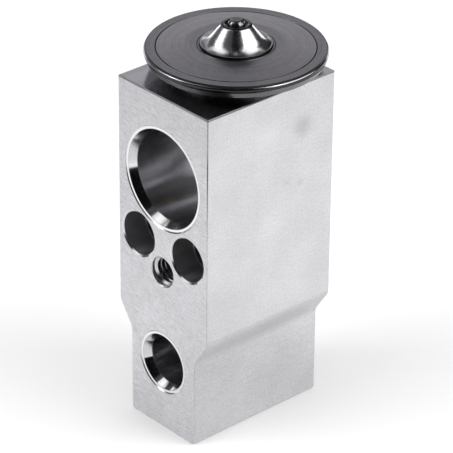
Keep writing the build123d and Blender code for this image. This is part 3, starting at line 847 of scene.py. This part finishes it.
def make_camera():
    back = direction(0, CAMERA_ELEVATION)
    right = (-back).cross(Vector((0, 0, 1))).normalized()
    up = right.cross(-back)
    c, s = cos(radians(CAMERA_ROLL)), sin(radians(CAMERA_ROLL))
    right, up = right * c + up * s, up * c - right * s
    data = bpy.data.cameras.new("camera")
    data.sensor_fit = "HORIZONTAL"
    data.sensor_width = CAMERA_SENSOR
    data.lens = CAMERA_LENS
    data.clip_start, data.clip_end = CAMERA_CLIP
    camera = place_object("camera", data)
    turn = Matrix((right, up, back)).transposed().to_4x4()
    camera.matrix_world = Matrix.Translation(Vector(CAMERA_PLACE) * MM) @ turn
    bpy.context.scene.camera = camera


def seen_rays(tree):
    """1 for rays that show the surroundings: camera, glossy and transmission rays"""
    rays = ("Is Camera Ray", "Is Glossy Ray", "Is Transmission Ray")
    return tree.most([tree.add("ShaderNodeLightPath", output=ray) for ray in rays])


def make_world():
    """White where it is seen, and a little dimmer as light"""
    world = bpy.data.worlds.new("studio")
    bpy.context.scene.world = world
    world.use_nodes = True
    tree = Tree(world.node_tree)
    background = tree.tree.nodes["Background"]
    tree.put(background.inputs["Color"], WHITE)
    tree.put(background.inputs["Strength"], tree.spread(seen_rays(tree), 0.0, 1.0, SKY_LEVEL, 1.0))


def plain_material(name, build):
    """Stage material whose surface a function builds"""
    material = bpy.data.materials.new(name)
    material.use_nodes = True
    tree = Tree(material.node_tree)
    tree.tree.nodes.remove(tree.tree.nodes["Principled BSDF"])
    output = tree.tree.nodes["Material Output"]
    tree.put(output.inputs["Surface"], build(tree))
    return material


def glow(tree, shade):
    return tree.add("ShaderNodeEmission", {"Color": shade, "Strength": 1.0})


def mix_shaders(tree, factor, a, b):
    return tree.add("ShaderNodeMixShader", {0: factor, 1: a, 2: b})


def floor_surface(tree):
    """Pale paint that keeps the part's shadow and fades to white far away. Metal sees a sheet of
    white paper on a dark table instead, and from below the floor can be seen through."""
    x, y, _ = tree.split(tree.scaled(tree.add("ShaderNodeTexCoord", output="Object"), 1 / MM))
    turn = radians(CAMERA_AZIMUTH)
    forward = tree.plus(tree.times(x, sin(turn)), tree.times(y, -cos(turn)))
    aside = tree.plus(tree.times(x, cos(turn)), tree.times(y, sin(turn)))
    paper = tree.times(tree.spread(forward, *PAPER_FRONT, 1.0, 0.0),
                       tree.spread(forward, *PAPER_BACK),
                       tree.spread(aside, *PAPER_RIGHT, 1.0, 0.0),
                       tree.spread(aside, *PAPER_LEFT),
                       tree.spread(tree.absolute(aside), *PAPER_MIDDLE, PAPER_MIDDLE_GREY, 1.0))
    paint = tree.add("ShaderNodeBsdfDiffuse", {"Color": FLOOR_TINT})
    shown = tree.mix(paper, TABLE_TINT, WHITE)
    far = tree.times(tree.spread(tree.length(x, y), *FLOOR_FADE), seen_rays(tree))
    seen = mix_shaders(tree, far, paint, glow(tree, WHITE))
    is_glossy = tree.add("ShaderNodeLightPath", output="Is Glossy Ray")
    top = mix_shaders(tree, is_glossy, seen, glow(tree, shown))
    backfacing = tree.add("ShaderNodeNewGeometry", output="Backfacing")
    clear = tree.add("ShaderNodeBsdfTransparent")
    return mix_shaders(tree, tree.times(backfacing, seen_rays(tree)), top, clear)


def make_floor():
    corners = [(x * FLOOR_SIZE, y * FLOOR_SIZE, -FLOOR_DROP)
               for x, y in ((-1, -1), (1, -1), (1, 1), (-1, 1))]
    material = plain_material("floor_paper", floor_surface)
    mesh_object("floor", corners, [(0, 1, 2, 3)], material, smooth=False)


def card(name, azimuths, elevations, shade, edge, distance):
    """Studio card that only shiny surfaces see, softened towards its edges"""
    (left, right), (bottom, top) = azimuths, elevations

    def build(tree):
        across, upward, _ = tree.split(tree.add("ShaderNodeTexCoord", output="UV"))
        inside = 1.0
        for value, span in ((across, right - left), (upward, top - bottom)):
            soft = min(edge / span, 0.5)
            inside = tree.times(inside, tree.spread(value, 0.0, soft),
                                tree.spread(value, 1.0 - soft, 1.0, 1.0, 0.0))
        clear = tree.add("ShaderNodeBsdfTransparent")
        return mix_shaders(tree, inside, clear, glow(tree, shade))

    vertices, faces, corners = [], [], []
    for j in range(CARD_ROWS + 1):
        for i in range(CARD_COLUMNS + 1):
            azimuth = left + (right - left) * i / CARD_COLUMNS
            elevation = bottom + (top - bottom) * j / CARD_ROWS
            vertices.append(Vector(CARD_CENTRE) + direction(azimuth, elevation) * distance)
            corners.append((i / CARD_COLUMNS, j / CARD_ROWS))
    for j in range(CARD_ROWS):
        for i in range(CARD_COLUMNS):
            a = j * (CARD_COLUMNS + 1) + i
            b = a + CARD_COLUMNS + 1
            faces.append((a, a + 1, b + 1, b))
    thing = mesh_object(name, vertices, faces, plain_material(name + "_grey", build))
    layer = thing.data.uv_layers.new(name="card")
    for loop in thing.data.loops:
        layer.data[loop.index].uv = corners[loop.vertex_index]
    thing.visible_camera = False
    thing.visible_diffuse = False
    thing.visible_shadow = False


def lamp(name, azimuth, elevation, distance, size, power):
    data = bpy.data.lights.new(name, "AREA")
    data.size = size * MM
    data.energy = power
    light = place_object(name, data)
    towards = direction(azimuth, elevation)
    light.location = (Vector(LAMP_TARGET) + towards * distance) * MM
    light.rotation_mode = "QUATERNION"
    light.rotation_quaternion = towards.to_track_quat("Z", "Y")
    light.visible_glossy = False


finishes = dress()
tapped_thread()
rolled_housing(finishes["lower_housing"])
split_spring(finishes["superheat_spring"])
make_camera()
make_world()
make_floor()
for name, settings in CARDS.items():
    card(name, *settings)
for name, settings in LAMPS.items():
    lamp(name, *settings)

bpy.context.scene.view_settings.view_transform = "Standard"
